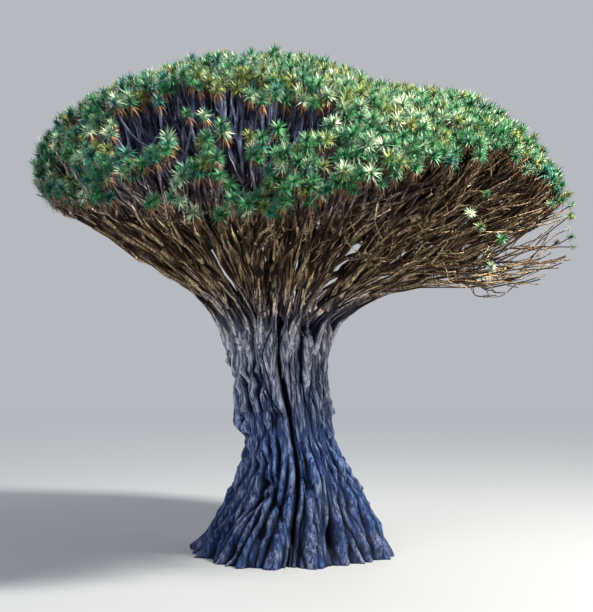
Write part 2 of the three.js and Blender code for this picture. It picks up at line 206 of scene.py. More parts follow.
def rib_azimuth(rib, z):
    """Neighbours wander together, so ribs never cross."""
    drift = 1.4 * math.sin(2 * rib["azimuth"] + 1) + 0.7 * math.sin(4 * rib["azimuth"])
    wave = 0.07 * np.sin(z / 1.5 + drift) * ease(0, 0.9, FORK_HEIGHT - z)
    turn = 0.05 * math.sin(2 * rib["azimuth"] + 2) * (1 - ease(0, FORK_HEIGHT, z))
    return rib["azimuth"] + wave + turn


def rib_reach(rib, z):
    flare = ease(0, FLARE_TOP, FLARE_TOP - z)
    fade = 0 if rib["main"] else 0.3 * ease(-0.9, 0.3, z - rib["top"])
    swell = 1 + 0.03 * np.sin(z / 0.9 + 2 * rib["sway"])
    return trunk_reach(z) * swell * (1 + (rib["toe"] - 1) * flare) * (1 - fade)


def size_up(z, share, change):
    """A size that is a share of the trunk's reach and changes up to the fork."""
    return trunk_reach(z) * (share + change * ease(VASE_FOOT, FORK_HEIGHT, z))


def rib_size(rib, z):
    return size_up(z, *(MAIN_RIB_SIZE if rib["main"] else SIDE_RIB_SIZE))


def valley_cuts(azimuth, z):
    cut = np.zeros_like(azimuth)
    for k, cleft in enumerate(VALLEYS):
        here = rib_azimuth(RIBS[k], z)
        middle = here + turn_between(rib_azimuth(RIBS[(k + 1) % len(RIBS)], z), here) / 2
        across = turn_between(azimuth, middle) / CLEFT_TURN
        ends = ease(0, 0.6, cleft["top"] - z) * ease(0, 0.6, z - cleft["foot"])
        cut = np.maximum(cut, cleft["depth"] * np.exp(-(across**2)) * ends)
    return cut


def lobe_line(azimuth, z):
    """Where a lobe of the foot ends: its arched upper edge, and how far to its sides."""
    across = turn_between(azimuth, LOBE["turn"]) * trunk_reach(z) / LOBE["span"]
    return LOBE["height"] - LOBE["fall"] * across**2, np.exp(-(across**4))


HEAD_HEIGHT = FORK_HEIGHT + 1.1
TRUNK_AROUND = 580
TRUNK_LEVELS = 170


def trunk_radius(azimuth, z):
    """The trunk's surface in a direction: the core, or whichever rib stands furthest out. Above the fork
    the core closes in a dome and the ribs shrink into the boughs."""
    closing = np.clip((z - FORK_HEIGHT) / (HEAD_HEIGHT - FORK_HEIGHT), 0, 1)
    dome = np.sqrt(np.maximum(0, 1 - closing**2))
    radius = size_up(z, *CORE_SIZE) * dome
    for rib in RIBS:
        turn = turn_between(azimuth, rib_azimuth(rib, z))
        size = rib_size(rib, z) * (1 - HEAD_RIB_SHRINK * closing)
        middle = rib_reach(rib, z) - rib_size(rib, z) + HEAD_RIB_SHIFT * closing
        off = middle * np.sin(turn)
        crest = (middle * np.cos(turn) + np.sqrt(np.maximum(0, size**2 - off**2))) * np.sqrt(dome)
        near = (np.cos(turn) > 0) & (np.abs(off) < size)
        if not rib["main"]:
            near = near & (z <= FORK_HEIGHT)
        radius = np.where(near, np.maximum(radius, crest), radius)
    edge, side = lobe_line(azimuth, z)
    lobe = LOBE["bulge"] * ease(0, LOBE["edge"], edge - z) * side
    return radius - valley_cuts(azimuth, z) * (z <= FORK_HEIGHT) + lobe


# Strands of bark that flow down the trunk side by side, with a crevice between each two: how many run the
# whole way and how many start on the way down, how far they wander, how far they stand out for their width
STRANDS = (
    {"whole": 40, "started": 44, "sway": 0.2, "pace": (0.7, 1.4), "rise": (0.55, 1.05), "start": (0.8, 5.4)},
    {"whole": 100, "started": 50, "sway": 0.1, "pace": (1.2, 2.6), "rise": (0.3, 0.6), "start": (0.8, 6.8)},
)
STRAND_GROWTH = 1.1
RELIEF_SINK = 0.1
STRAND_WIDEST = 0.34
KNOTS = 90
KNOT_SIZE = (0.07, 0.2)
KNOT_RISE = 0.07

# Marks on the trunk's front: a smooth patch with a lip over it, small hollows, and the groove over the lobe
PATCH = {"turn": math.radians(257), "z": 3.4, "width": 0.36, "height": 1.1}
LIP = {"turn": math.radians(257), "z": 4.78, "width": 0.4, "height": 0.13, "depth": 0.3}
HOLLOWS = (
    {"turn": math.radians(237), "z": 2.5, "width": 0.13, "height": 0.14, "depth": 0.34},
    {"turn": math.radians(244), "z": 2.6, "width": 0.11, "height": 0.13, "depth": 0.32},
    {"turn": math.radians(299), "z": 0.7, "width": 0.22, "height": 0.5, "depth": 0.4},
)
LOBE_GROOVE = 0.2

# How hollow a place is beside its neighbours: so many columns either way, and how deep counts as a crevice
NARROW_CREVICE = {"columns": 4, "depth": 0.07}
WIDE_CREVICE = {"columns": 14, "depth": 0.24}


def spot(azimuth, z, radius, mark):
    """1 in the middle of a mark and 0 away from it."""
    across = turn_between(azimuth, mark["turn"]) * radius / mark["width"]
    up = (z - mark["z"]) / mark["height"]
    return np.exp(-(across**2) - up**2)


def strand_lines(layer, z, reach):
    """The middles of a layer's strands in each of the heights, their strength and how far each stands out."""
    strand = STRANDS[layer]
    count = strand["whole"] + strand["started"]
    middles, strengths, rises = [], [], []
    for n in range(count):
        key = 300 * layer + n
        share = (n + between(-0.3, 0.3, key, 71)) / count
        whole = (n + 1) * strand["whole"] // count > n * strand["whole"] // count
        top = HEAD_HEIGHT + STRAND_GROWTH if whole else between(*strand["start"], key, 72)
        phase = between(0, 2 * math.pi, key, 74)
        pace = between(*strand["pace"], key, 75)
        sway = strand["sway"] * (np.sin(pace * z + phase) + 0.4 * np.sin(2.7 * pace * z + 2 * phase))
        middles.append(math.tau * share + sway / reach)
        strengths.append(np.clip((top - z) / STRAND_GROWTH, 0, 1) * between(0.7, 1.3, key, 76))
        rises.append(between(*strand["rise"], key, 77) * (1 + 0.2 * np.sin(2.3 * z + 3 * phase)))
    return np.array(middles), np.array(strengths), np.array(rises)


def strand_relief(around, z, reach):
    """How far the strands stand out in a grid of heights and directions. Neighbours share the width between
    their middles by their strength, and strands that meet run together."""
    relief = np.zeros((len(z), len(around)))
    for layer in range(len(STRANDS)):
        middles, strengths, rises = strand_lines(layer, z, reach)
        for level in range(len(z)):
            grown = strengths[:, level] > 0
            middle, strength = middles[grown, level] % math.tau, strengths[grown, level]
            order = np.argsort(middle)
            middle, strength, rise = middle[order], strength[order], rises[grown, level][order]
            gap = np.roll(middle, -1) - middle
            gap[-1] += math.tau
            after = gap * strength / (strength + np.roll(strength, -1))
            before = np.roll(gap - after, 1)
            n = np.searchsorted(middle, around, side="right") - 1
            ahead = turn_between(around, middle[n]) > after[n]
            n = np.where(ahead, (n + 1) % len(middle), n)
            turn = turn_between(around, middle[n])
            half = np.where(turn > 0, after[n], before[n])
            crest = np.sqrt(np.maximum(0, 1 - (turn / np.maximum(half, 1e-6)) ** 2))
            width = np.minimum(before[n], after[n]) * 2 * reach[level]
            relief[level] += rise[n] * np.minimum(width, STRAND_WIDEST) * crest
    return relief


def knot_relief(azimuth, z, reach):
    """Small burls and dents all over the trunk."""
    relief = np.zeros_like(azimuth)
    for n in range(KNOTS):
        size = between(*KNOT_SIZE, n, 91)
        mark = {"turn": n * GOLDEN_ANGLE, "z": between(0.2, 7.2, n, 92), "width": size, "height": 1.6 * size}
        relief = relief + between(-1, 1, n, 93) * KNOT_RISE * spot(azimuth, z, reach, mark)
    return relief


def hollowness(radius, depth, columns):
    """How far the surface lies below its mean over so many columns either way, for a crevice's depth."""
    level = np.mean([np.roll(radius, step, axis=1) for step in range(-columns, columns + 1)], axis=0)
    return (level - radius) / depth


def trunk_surface():
    """Radius and hollowness, from 0 on a crest to 1 in a crevice, on a grid of heights and directions."""
    around = np.linspace(0, 2 * math.pi, TRUNK_AROUND, endpoint=False)
    heights = HEAD_HEIGHT * np.linspace(0, 1, TRUNK_LEVELS)
    azimuth, z = np.meshgrid(around, heights)
    base = trunk_radius(azimuth, z)
    reach = trunk_reach(z)
    fade = 1 - ease(FORK_HEIGHT, HEAD_HEIGHT, z)
    relief = strand_relief(around, heights, reach[:, 0]) * fade
    smooth = np.minimum(1, 1.6 * spot(azimuth, z, reach, PATCH))
    relief = relief * (1 - 0.85 * smooth) + 0.12 * smooth
    edge, side = lobe_line(azimuth, z)
    groove = LOBE_GROOVE * np.exp(-(((z - edge - 0.06) / 0.1) ** 2)) * side
    sink = RELIEF_SINK * (0.6 + 0.4 * reach / WAIST_RADIUS)
    radius = base + relief + knot_relief(azimuth, z, reach) - sink * fade - groove
    for mark in (LIP, *HOLLOWS):
        radius = radius - mark["depth"] * spot(azimuth, z, reach, mark)
    radius = np.maximum(radius, 0.02)
    scale = 0.4 + 0.6 * reach / WAIST_RADIUS
    narrow, wide = (
        hollowness(radius, crevice["depth"] * scale, crevice["columns"])
        for crevice in (NARROW_CREVICE, WIDE_CREVICE)
    )
    # Above the fork the bark counts as more hollow: a painted shade in the crotch where the boughs part
    crotch = 0.6 * ease(FORK_HEIGHT, FORK_HEIGHT + 0.5, z)
    return around, heights, radius, np.clip(0.42 + 0.6 * narrow + 0.6 * wide + crotch, 0, 1)


# Crown


def shell_point(azimuth, lift, inset):
    """Crown shell: the point in a direction, so far inside it. Lift is a right angle at the top, 0 at the
    widest ring and less where the crown tucks under. The underside is flatter on the right."""
    right = math.cos(azimuth)
    widest = WIDEST_HEIGHT - WIDEST_TILT * right
    above = (TREE_HEIGHT - inset - widest) * max(0, math.sin(lift))
    below = (TUCK_DEPTH + TUCK_TILT * right) * max(0, -math.sin(lift)) ** (1 - TUCK_FLAT * max(0, right))
    lobes = 1 + 0.014 * math.sin(5 * azimuth + 1) + 0.012 * math.sin(8 * azimuth)
    reach = (CROWN_REACH - inset + REACH_SKEW * right) * math.cos(lift) * lobes
    x = CROWN_SHIFT + reach * right
    saddle = SADDLE_DEPTH * math.exp(-(((x - SADDLE_X) / SADDLE_WIDTH) ** 2)) * max(0, math.sin(lift))
    return np.array([x, reach * math.sin(azimuth), widest + above - below - saddle])


def lowest_lift(azimuth):
    return math.radians(-31 - 9 * math.cos(azimuth))


def leafy_from(azimuth):
    """How low the leaves hang in a direction: the front right and its rim are bare."""
    turns, lifts = zip(*LEAFY_FROM)
    return math.radians(np.interp(math.degrees(azimuth) % 360, turns, lifts))


# The window, in degrees: its middle and half its width, its lower edge, which rises, and its arched top
WINDOW = {"turn": 248, "half": 35, "low": 12, "rise": 15, "high": 45, "arch": 0.006}
WINDOW_TUFTS = 0.05


def is_window(azimuth, lift):
    """Seen from the front left, the shell is open in a band between the high tier and the low one."""
    turn = math.degrees(turn_between(azimuth, math.radians(WINDOW["turn"])))
    low = WINDOW["low"] + WINDOW["rise"] * ease(-20, 32, turn)
    high = WINDOW["high"] - WINDOW["arch"] * turn**2
    return abs(turn) < WINDOW["half"] and low < math.degrees(lift) < high


# Small gaps among the tufts: how many, where in degrees, and how large
CLUMP_GAPS = (
    {"count": 80, "turn": (0, 360), "lift": (-14, 42), "size": (0.28, 0.62)},
    {"count": 14, "turn": (160, 262), "lift": (-13, 12), "size": (0.28, 0.62)},
    {"count": 110, "turn": (0, 360), "lift": (42, 84), "size": (0.2, 0.4)},
)


def make_clump_gaps():
    """Places on the shell where tufts leave a gap and the limbs behind show."""
    gaps = []
    for row, part in enumerate(CLUMP_GAPS):
        for n in range(part["count"]):
            key = 200 * row + n
            azimuth = math.radians(between(*part["turn"], key, 95))
            point = shell_point(azimuth, math.radians(between(*part["lift"], key, 96)), TUFT_INSET)
            gaps.append((point, between(*part["size"], key, 97)))
    return gaps


def leafy_tip(n, lift, outward):
    """How deep a leafy tip lies, which way it points and how long its shoot is."""
    depth = TUFT_INSET + between(0, TUFT_DEPTH, n, 13)
    axis = unit(outward * between(*TUFT_OUT, n, 15) + UP * between(*TUFT_UP, n, 16))
    taller = 1 + TALLER_ON_TOP * max(0, math.sin(lift))
    return depth, axis, LEAFY["shoot"] * between(*LEAFY_SHOOTS, n, 17) * taller


def bare_tip(n, outward):
    """The same for a bare tip, which may lie far inside the shell and then points more to the side."""
    depth = BARE_DEPTH * dice(n, 14) ** BARE_NEAR_SHELL
    aside = np.array([between(*BARE_ASIDE, n, 51 + k) for k in range(3)]) * min(1, 0.3 + depth)
    axis = unit(outward + UP * between(*BARE_UP, n, 16) * min(1, depth) + aside)
    return depth, axis, BARE["shoot"] * between(*BARE_SHOOTS, n, 17)


def shell_tips(kind):
    """Tips of one kind, spread evenly over the part of the shell that is theirs, with a ragged edge."""
    leafy = kind["leafy"]
    lowest = math.sin(lowest_lift(0))
    gaps = make_clump_gaps()
    tips = []
    for n in range(kind["count"]):
        share = (n + between(0.3, 0.7, n, 11)) / kind["count"]
        lift = math.asin(lowest + (1 - lowest) * share**TOP_SHARE)
        azimuth = n * GOLDEN_ANGLE + between(-0.04, 0.04, n, 12)
        ragged_lift = lift + math.radians(between(-5, 5, n, 18))
        ragged_turn = azimuth + math.radians(between(-6, 6, n, 19))
        if lift < lowest_lift(azimuth):
            continue
        if is_window(ragged_turn, ragged_lift) and dice(n, 20) > WINDOW_TUFTS:
            continue
        if (ragged_lift > leafy_from(azimuth)) != leafy:
            continue
        outward = unit(shell_point(azimuth, lift, 0) - HUB)
        depth, axis, shoot = leafy_tip(n, lift, outward) if leafy else bare_tip(n, outward)
        point = shell_point(azimuth, lift, depth) + UP * (0 if leafy else BARE_RISE * depth)
        if leafy and any(np.linalg.norm(point - middle) < size for middle, size in gaps):
            continue
        tips.append({
            **kind, "key": n, "point": point, "azimuth": azimuth, "lift": lift, "depth": depth,
            "axis": axis, "shoot": shoot, "anchor": point - axis * shoot,
        })
    return tips


RINGS = (
    {"name": "rim", "count": MAIN_RIBS, "lift": -3, "foot": 1.6, "radius": 0.3, "share": 0.4,
     "first": 0.32, "bend": 0.62},
    {"name": "shoulder", "count": 10, "turn": 3, "lift": 31, "fork": 0.26, "radius": 0.21, "share": 0.4,
     "bend": 0.66},
    {"name": "high", "count": 6, "turn": 40, "lift": 58, "foot": 0.82, "radius": 0.26, "share": 0.42,
     "first": 0.3, "bend": 0.7},
    {"name": "top", "count": 1, "turn": 0, "lift": 90, "foot": 0, "radius": 0.26, "share": 0.42,
     "first": 0.3, "bend": 0.7},
)
HUB = trunk_middle(HUB_HEIGHT)


def curve_point(line, t):
    a, b, c, d = line
    return a * (1 - t) ** 3 + 3 * b * t * (1 - t) ** 2 + 3 * c * t * t * (1 - t) + d * t**3


def rise_from(start, azimuth, seed, ring):
    """The line from a bough's foot out to a mass's middle on the shell, steep at first, then spreading. On
    the right it rises more steeply, and then runs out nearly level."""
    flat = (seed - start) * (1, 1, 0)
    climb = seed[2] - start[2]
    bend = UP * ring["bend"] * climb
    if "fork" in ring:
        return [start, start + flat * 0.12 + UP * 0.34 * climb, start + flat * 0.62 + bend, seed]
    outward = level_direction(azimuth)
    steep = 1 + STEEP_RIGHT * max(0, outward[0])
    first = start + UP * ring["first"] * steep * climb + outward * 0.22 * ring["first"] * climb
    return [start, first, start + flat * 0.52 + bend, seed]


def plan_masses():
    masses = []
    for row, ring in enumerate(RINGS):
        for n in range(ring["count"]):
            key = 20 * row + n
            if ring["name"] == "rim":
                azimuth = RIBS[(1 + SIDE_RIBS) * n]["azimuth"]
            else:
                jitter = between(-0.1, 0.1, key, 21)
                azimuth = math.radians(ring["turn"]) + 2 * math.pi * (n + jitter) / ring["count"]
            seed = shell_point(azimuth, math.radians(ring["lift"] + between(-2, 2, key, 22)), SEED_INSET)
            if "fork" in ring:
                rims = [mass for mass in masses if mass["ring"]["name"] == "rim"]
                parent = min(rims, key=lambda mass: abs(turn_between(mass["azimuth"], azimuth)))
                start = curve_point(parent["line"], ring["fork"])
            else:
                start = trunk_middle(FORK_HEIGHT - BASE_DEPTH) + ring["foot"] * level_direction(azimuth)
            masses.append({
                "name": f"{ring['name']}_{n + 1}", "key": key, "ring": ring, "azimuth": azimuth,
                "line": rise_from(start, azimuth, seed, ring), "direction": unit(seed - HUB), "tips": [],
            })
    return masses


def pipe_radius(tips, limit):
    """A limb is as thick as what it carries needs, and never thicker than what it grows from."""
    carried = sum(tip["radius"] ** (1 / PIPE_POWER) for tip in tips) ** PIPE_POWER
    return min(limit, carried)


def middle_of(tips):
    return np.mean([tip["anchor"] for tip in tips], axis=0)


SPREAD_AXES = [
    unit(np.array(axis, float)) for axis in ((0, 0, 1), (1, 0, 0), (0, 1, 0), (1, 1, 0), (1, -1, 0))
]


def split_tips(tips, heading):
    """Splits tips in two across the direction in which they spread most. A few change sides, so that twigs
    cross."""
    points = np.array([tip["anchor"] for tip in tips])
    centred = points - points.mean(axis=0)
    best = max(
        (unit(axis - axis.dot(heading) * heading + 1e-9) for axis in SPREAD_AXES),
        key=lambda axis: ((centred @ axis) ** 2).sum(),
    )
    across = centred @ best
    shuffle = np.array([between(-1, 1, tip["key"], 66) * tip["crossing"] for tip in tips])
    order = np.argsort(across + np.std(across) * shuffle)
    half = math.floor(len(tips) / 2 + 0.5)
    return [tips[i] for i in order[half:]], [tips[i] for i in order[:half]]


CROOK = 0.16
STRIDE = (0.85, 1.2)
KEEP_HEADING = 0.25
BRANCH_SHARE = 0.95


def end_twig(twig, tip):
    """Leads a twig through its last shoot to its tip. A bare one never sags below both of its ends."""
    here = twig["points"][-1]
    onward = unit(tip["point"] - here)
    tip["axis"] = unit(tip["axis"] + onward * tip["turn"])
    shoot = min(tip["shoot"], 0.6 * np.linalg.norm(tip["point"] - here))
    knee = tip["point"] - tip["axis"] * shoot
    if not tip["leafy"]:
        knee[2] = max(knee[2], min(here[2], tip["point"][2]))
    twig["points"] += [knee, tip["point"]]
    twig["radii"] += [tip["radius"] * 1.1, tip["radius"]]
    twig["tip"] = tip


def grow_twigs(twig, tips, heading, grown):
    """The twig rule: a twig goes part of the way to the middle of its tips and forks, until each has one tip.
    Half of the tips keep the twig, and the rest start a new one from inside it."""
    if len(tips) == 1:
        end_twig(twig, tips[0])
        grown.append(twig)
        return
    here = twig["points"][-1]
    key = len(grown)
    levels = math.log2(len(tips)) + 1
    stride = between(*STRIDE, len(tips), key) / levels
    step = (middle_of(tips) - here) * stride
    length = np.linalg.norm(step)
    crook = np.array([between(-1, 1, key, 31 + k + len(tips)) for k in range(3)]) * CROOK * length
    step = step + heading * KEEP_HEADING * length + crook
    radius = pipe_radius(tips, twig["radii"][-1])
    fork = here + step
    fork[2] = max(fork[2], min(here[2], min(tip["point"][2] for tip in tips)))
    onward = unit(step)
    twig["points"].append(fork)
    twig["radii"].append(radius)
    first, second = split_tips(tips, onward)
    branch = {
        "points": [fork],
        "radii": [pipe_radius(second, BRANCH_SHARE * radius)],
        "from": fork - onward * length * 0.5,
    }
    grow_twigs(twig, first, onward, grown)
    grow_twigs(branch, second, onward, grown)


# Limbs beside a bough: where along it they leave, or where they leave the trunk's head beside a rim bough
LIMB_FORKS = (0.1, 0.16, 0.24, 0.31, 0.37)
FORKED_SHARE = 0.42
HEAD_TURN = 0.15
HEAD_FOOT = 1.44
HEAD_DEPTH = 0.2
HEAD_SPREAD = 0.2
LIMB_STEPS = 8
STOUTEST_END = 0.2
BURIED = 1.2
LIMB_LEAVES = 0.22
LIMB_RISE = (0.9, 1.05)
LIMB_SPREAD = (0.5, 0.62)
LIMB_REACH = (0.9, 1.2)
LIMB_FOOT = 1.4


def limb_line(start, heading, tips, ring, key):
    """A side limb leaves along what it grows from, then turns towards its own tips."""
    seed = middle_of(tips)
    flat = (seed - start) * (1, 1, 0)
    climb = seed[2] - start[2]
    steep = 1 + STEEP_RIGHT * max(0, unit(flat)[0])
    first = start + heading * LIMB_LEAVES * steep * np.linalg.norm(seed - start)
    rise = UP * ring["bend"] * between(*LIMB_RISE, key, 42) * climb
    return [start, first, start + flat * between(*LIMB_SPREAD, key, 41) + rise, seed]


def bury_foot(points, radii):
    """Leads a limb's foot down into the trunk's head, so that it grows out of the fluted bark."""
    axis = trunk_middle(FORK_HEIGHT) * (1, 1, 0)
    inward = (axis - points[0] * (1, 1, 0)) * (1, 1, 0)
    points[0] = points[0] + inward * 0.06
    points.insert(0, points[0] + inward * 0.16 - UP * BURIED)
    radii.insert(0, 0.4 * radii[0])


def limb_groups(tips, heading):
    """Six groups of a mass's tips, one for each limb."""
    groups = [half for part in split_tips(tips, heading) for half in split_tips(part, heading)]
    groups.sort(key=len)
    for _ in range(2):
        groups = [*split_tips(groups.pop(), heading), *groups]
        groups.sort(key=len)
    return [group for group in groups if group]


def make_limb(line, reach, foot_radius, end_radius, power, buried):
    """A limb along a line, thinner towards its end, perhaps with its foot inside the trunk's head."""
    steps = range(LIMB_STEPS + 1)
    points = [curve_point(line, reach * step / LIMB_STEPS) for step in steps]
    radii = [foot_radius + (end_radius - foot_radius) * (step / LIMB_STEPS) ** power for step in steps]
    if buried:
        bury_foot(points, radii)
    return {"points": points, "radii": radii}


def head_start(mass, side, key):
    """Where a limb starts on the trunk's head, on one side of a rim bough, and which way it leaves."""
    outward = level_direction(mass["azimuth"] + side * HEAD_TURN * between(0.9, 1.1, key, 44))
    return trunk_middle(FORK_HEIGHT - HEAD_DEPTH) + HEAD_FOOT * outward, unit(UP + HEAD_SPREAD * outward)


def bough_start(mass, n):
    """Where the limb with a number starts on its bough, and which way it leaves."""
    t = LIMB_FORKS[n] * mass["ring"]["share"] / FORKED_SHARE
    start = curve_point(mass["line"], t)
    return start, unit(curve_point(mass["line"], t + 0.05) - start)


def side_of(mass, tips):
    """1 where tips lie anticlockwise of a mass's middle, and -1 where they don't."""
    middle = middle_of(tips) - HUB
    return 1 if turn_between(math.atan2(middle[1], middle[0]), mass["azimuth"]) > 0 else -1


def grow_on(limb, tips, heading, twigs):
    """Adds the twigs that grow on from a limb's end."""
    grow_twigs({"points": limb["points"][-1:], "radii": limb["radii"][-1:]}, tips, heading, twigs)


def grow_mass(mass, twigs):
    """A mass's bough and side limbs. The twigs that grow on from them are added to the rest."""
    line, ring = mass["line"], mass["ring"]
    share = ring["share"]
    end = curve_point(line, share)
    heading = unit(end - curve_point(line, share - 0.05))
    groups = limb_groups(mass["tips"], heading)
    groups.sort(key=lambda group: np.linalg.norm(np.cross(unit(middle_of(group) - end), heading)))
    end_radius = pipe_radius(groups[0], STOUTEST_END)
    limbs = [make_limb(line, share, ring["radius"], end_radius, 0.8, "fork" not in ring)]
    grow_on(limbs[0], groups[0], heading, twigs)
    sides_taken = set()
    for n, group in enumerate(groups[:0:-1]):
        key = 10 * mass["key"] + n
        side = side_of(mass, group)
        on_head = ring["name"] == "rim" and side not in sides_taken
        sides_taken.add(side)
        start, toward = head_start(mass, side, key) if on_head else bough_start(mass, n)
        side_line = limb_line(start, toward, group, ring, key)
        end_radius = pipe_radius(group, STOUTEST_END)
        reach = share * between(*LIMB_REACH, key, 43)
        limb = make_limb(side_line, reach, LIMB_FOOT * end_radius, end_radius, 0.7, on_head)
        limbs.append(limb)
        grow_on(limb, group, unit(limb["points"][-1] - limb["points"][-2]), twigs)
    return limbs


def build_skeleton():
    """Boughs with their side limbs, and the twigs that grow on from them."""
    masses = plan_masses()
    for tip in shell_tips(LEAFY) + shell_tips(BARE):
        direction = unit(tip["point"] - HUB)
        max(masses, key=lambda mass: mass["direction"].dot(direction))["tips"].append(tip)
    twigs = []
    limbs = {mass["name"]: grow_mass(mass, twigs) for mass in masses}
    return limbs, twigs


def smooth_line(twig, steps, crooked=0.0):
    """A smooth line through a twig's points, as a cubic between each two. It leaves a fork along its parent,
    and is a little crooked between its points."""
    points = twig["points"]
    before = twig.get("from", 2 * points[0] - points[1])
    after = 2 * points[-1] - points[-2]
    held = [before, *points, after]
    line, radii = [], []
    for n in range(len(points) - 1):
        a, b, c, d = held[n:n + 4]
        key = int(abs(b[0] * 911 + b[1] * 577 + b[2] * 353)) % 9973
        bend = np.array([between(-1, 1, key, 81 + k) for k in range(3)]) * crooked * np.linalg.norm(c - b)
        for step in range(steps):
            t = step / steps
            line.append(0.5 * (2 * b + (c - a) * t + (2 * a - 5 * b + 4 * c - d) * t**2
                               + (3 * b - a - 3 * c + d) * t**3) + bend * math.sin(math.pi * t))
            radii.append(twig["radii"][n] * (1 - t) + twig["radii"][n + 1] * t)
    return [*line, points[-1]], [*radii, twig["radii"][-1]]


# Node trees


def add_node(tree, kind, sockets=None, **settings):
    """A node with its settings, and its sockets linked to another socket or set to a value."""
    node = tree.nodes.new(kind)
    for name, value in settings.items():
        setattr(node, name, value)
    for name, source in (sockets or {}).items():
        if isinstance(source, bpy.types.NodeSocket):
            tree.links.new(source, node.inputs[name])
        else:
            node.inputs[name].default_value = source
    return node


def math_node(tree, operation, *values):
    return add_node(tree, "ShaderNodeMath", dict(enumerate(values)), operation=operation).outputs[0]


def multiply(tree, *values):
    product = values[0]
    for value in values[1:]:
        product = math_node(tree, "MULTIPLY", product, value)
    return product


def add(tree, first, second):
    return math_node(tree, "ADD", first, second)


def vector(tree, **parts):
    return add_node(tree, "ShaderNodeCombineXYZ", parts).outputs[0]


def noise(tree, place, scale, detail=2.0, roughness=0.6):
    return add_node(tree, "ShaderNodeTexNoise", {
        "Vector": place, "Scale": scale, "Detail": detail, "Roughness": roughness,
    }).outputs[0]


def remap(tree, value, low, high, to_low=0.0, to_high=1.0):
    return add_node(tree, "ShaderNodeMapRange", {
        "Value": value, "From Min": low, "From Max": high, "To Min": to_low, "To Max": to_high,
    }).outputs[0]


def store(tree, geometry, name, value):
    """Keeps a value under a name on each point."""
    held = {"Geometry": geometry, "Name": name, "Value": value}
    return add_node(tree, "GeometryNodeStoreNamedAttribute", held, domain="POINT").outputs[0]


def read(tree, name, kind="FLOAT"):
    node = add_node(tree, "GeometryNodeInputNamedAttribute", {"Name": name}, data_type=kind)
    return node.outputs["Attribute"]


def start_tree(name, inputs):
    """A geometry node tree with named inputs. Returns the tree, its inputs' sockets and identifiers."""
    tree = bpy.data.node_groups.new(name, "GeometryNodeTree")
    tree.interface.new_socket("Geometry", in_out="INPUT", socket_type="NodeSocketGeometry")
    identifiers = {}
    for label, kind in inputs.items():
        socket = tree.interface.new_socket(label, in_out="INPUT", socket_type=f"NodeSocket{kind}")
        identifiers[label] = socket.identifier
    tree.interface.new_socket("Geometry", in_out="OUTPUT", socket_type="NodeSocketGeometry")
    return tree, tree.nodes.new("NodeGroupInput").outputs, identifiers


def finish_tree(tree, geometry, material):
    """Ends a tree in realized, smooth geometry with its material."""
    real = add_node(tree, "GeometryNodeRealizeInstances", {"Geometry": geometry}).outputs[0]
    shaded = add_node(tree, "GeometryNodeSetShadeSmooth", {"Geometry": real}).outputs[0]
    painted = add_node(tree, "GeometryNodeSetMaterial", {"Geometry": shaded, "Material": material}).outputs[0]
    add_node(tree, "NodeGroupOutput", {"Geometry": painted})


HOLLOW_NOISE = (0.62, 0.34)


def limb_tree():
    """Sweeps a round section along lines, as thick as they say, with bark strands that run along them."""
    tree, given, names = start_tree(
        "limbs", {"Sides": "Int", "Relief": "Float", "Strand Length": "Float", "Material": "Material"}
    )
    along = add_node(tree, "GeometryNodeSplineParameter").outputs["Length"]
    radius = add_node(tree, "GeometryNodeInputRadius").outputs[0]
    number = add_node(tree, "GeometryNodeCurveOfPoint").outputs["Curve Index"]
    tone = add_node(tree, "FunctionNodeRandomValue", {"ID": number, "Seed": 5}, data_type="FLOAT").outputs[1]
    lines = given["Geometry"]
    for name, value in (("along", along), ("thick", radius), ("number", number), ("tone", tone)):
        lines = store(tree, lines, name, value)
    circle = add_node(tree, "GeometryNodeCurvePrimitiveCircle", {"Resolution": given["Sides"], "Radius": 1.0})
    factor = add_node(tree, "GeometryNodeSplineParameter").outputs["Factor"]
    swept = add_node(tree, "GeometryNodeCurveToMesh", {
        "Curve": lines, "Profile Curve": store(tree, circle.outputs[0], "around", factor), "Scale": radius,
        "Fill Caps": True,
    }).outputs[0]
    turn = multiply(tree, read(tree, "around"), math.tau)
    length = math_node(tree, "DIVIDE", read(tree, "along"), given["Strand Length"])
    place = vector(
        tree,
        X=multiply(tree, math_node(tree, "COSINE", turn), 1.6),
        Y=multiply(tree, math_node(tree, "SINE", turn), 1.6),
        Z=add(tree, length, multiply(tree, read(tree, "number"), 7.3)),
    )
    strands = noise(tree, place, 1.0, 2.0, 0.5)
    # The strands' low places count as hollow, where the bark paints shade
    swept = store(tree, swept, "hollow", remap(tree, strands, *HOLLOW_NOISE))
    height = multiply(tree, math_node(tree, "SUBTRACT", strands, 0.5), given["Relief"], read(tree, "thick"))
    normal = add_node(tree, "GeometryNodeInputNormal").outputs[0]
    push = add_node(tree, "ShaderNodeVectorMath", {0: normal, "Scale": height}, operation="SCALE").outputs[0]
    moved = add_node(tree, "GeometryNodeSetPosition", {"Geometry": swept, "Offset": push}).outputs[0]
    finish_tree(tree, moved, given["Material"])
    return tree, names


def sword_leaf(tree, given):
    """One leaf: a blade of a few faces that narrows to its tip and droops."""
    blade = add_node(tree, "GeometryNodeMeshGrid", {
        "Size X": 1.0, "Size Y": 1.0, "Vertices X": 2, "Vertices Y": 3,
    }).outputs["Mesh"]
    place = add_node(tree, "GeometryNodeInputPosition").outputs[0]
    split = add_node(tree, "ShaderNodeSeparateXYZ", {0: place}).outputs
    along = add(tree, split["Y"], 0.5)
    square = multiply(tree, along, along)
    shape = vector(
        tree,
        X=multiply(tree, split["X"], math_node(tree, "SUBTRACT", 1.0, square), given["Leaf Width"]),
        Y=multiply(tree, along, given["Leaf Length"]),
        Z=multiply(tree, square, given["Droop"], given["Leaf Length"], -1.0),
    )
    leaf = add_node(tree, "GeometryNodeSetPosition", {"Geometry": blade, "Position": shape}).outputs[0]
    return add_node(tree, "GeometryNodeMergeByDistance", {"Geometry": leaf, "Distance": 0.0005}).outputs[0]


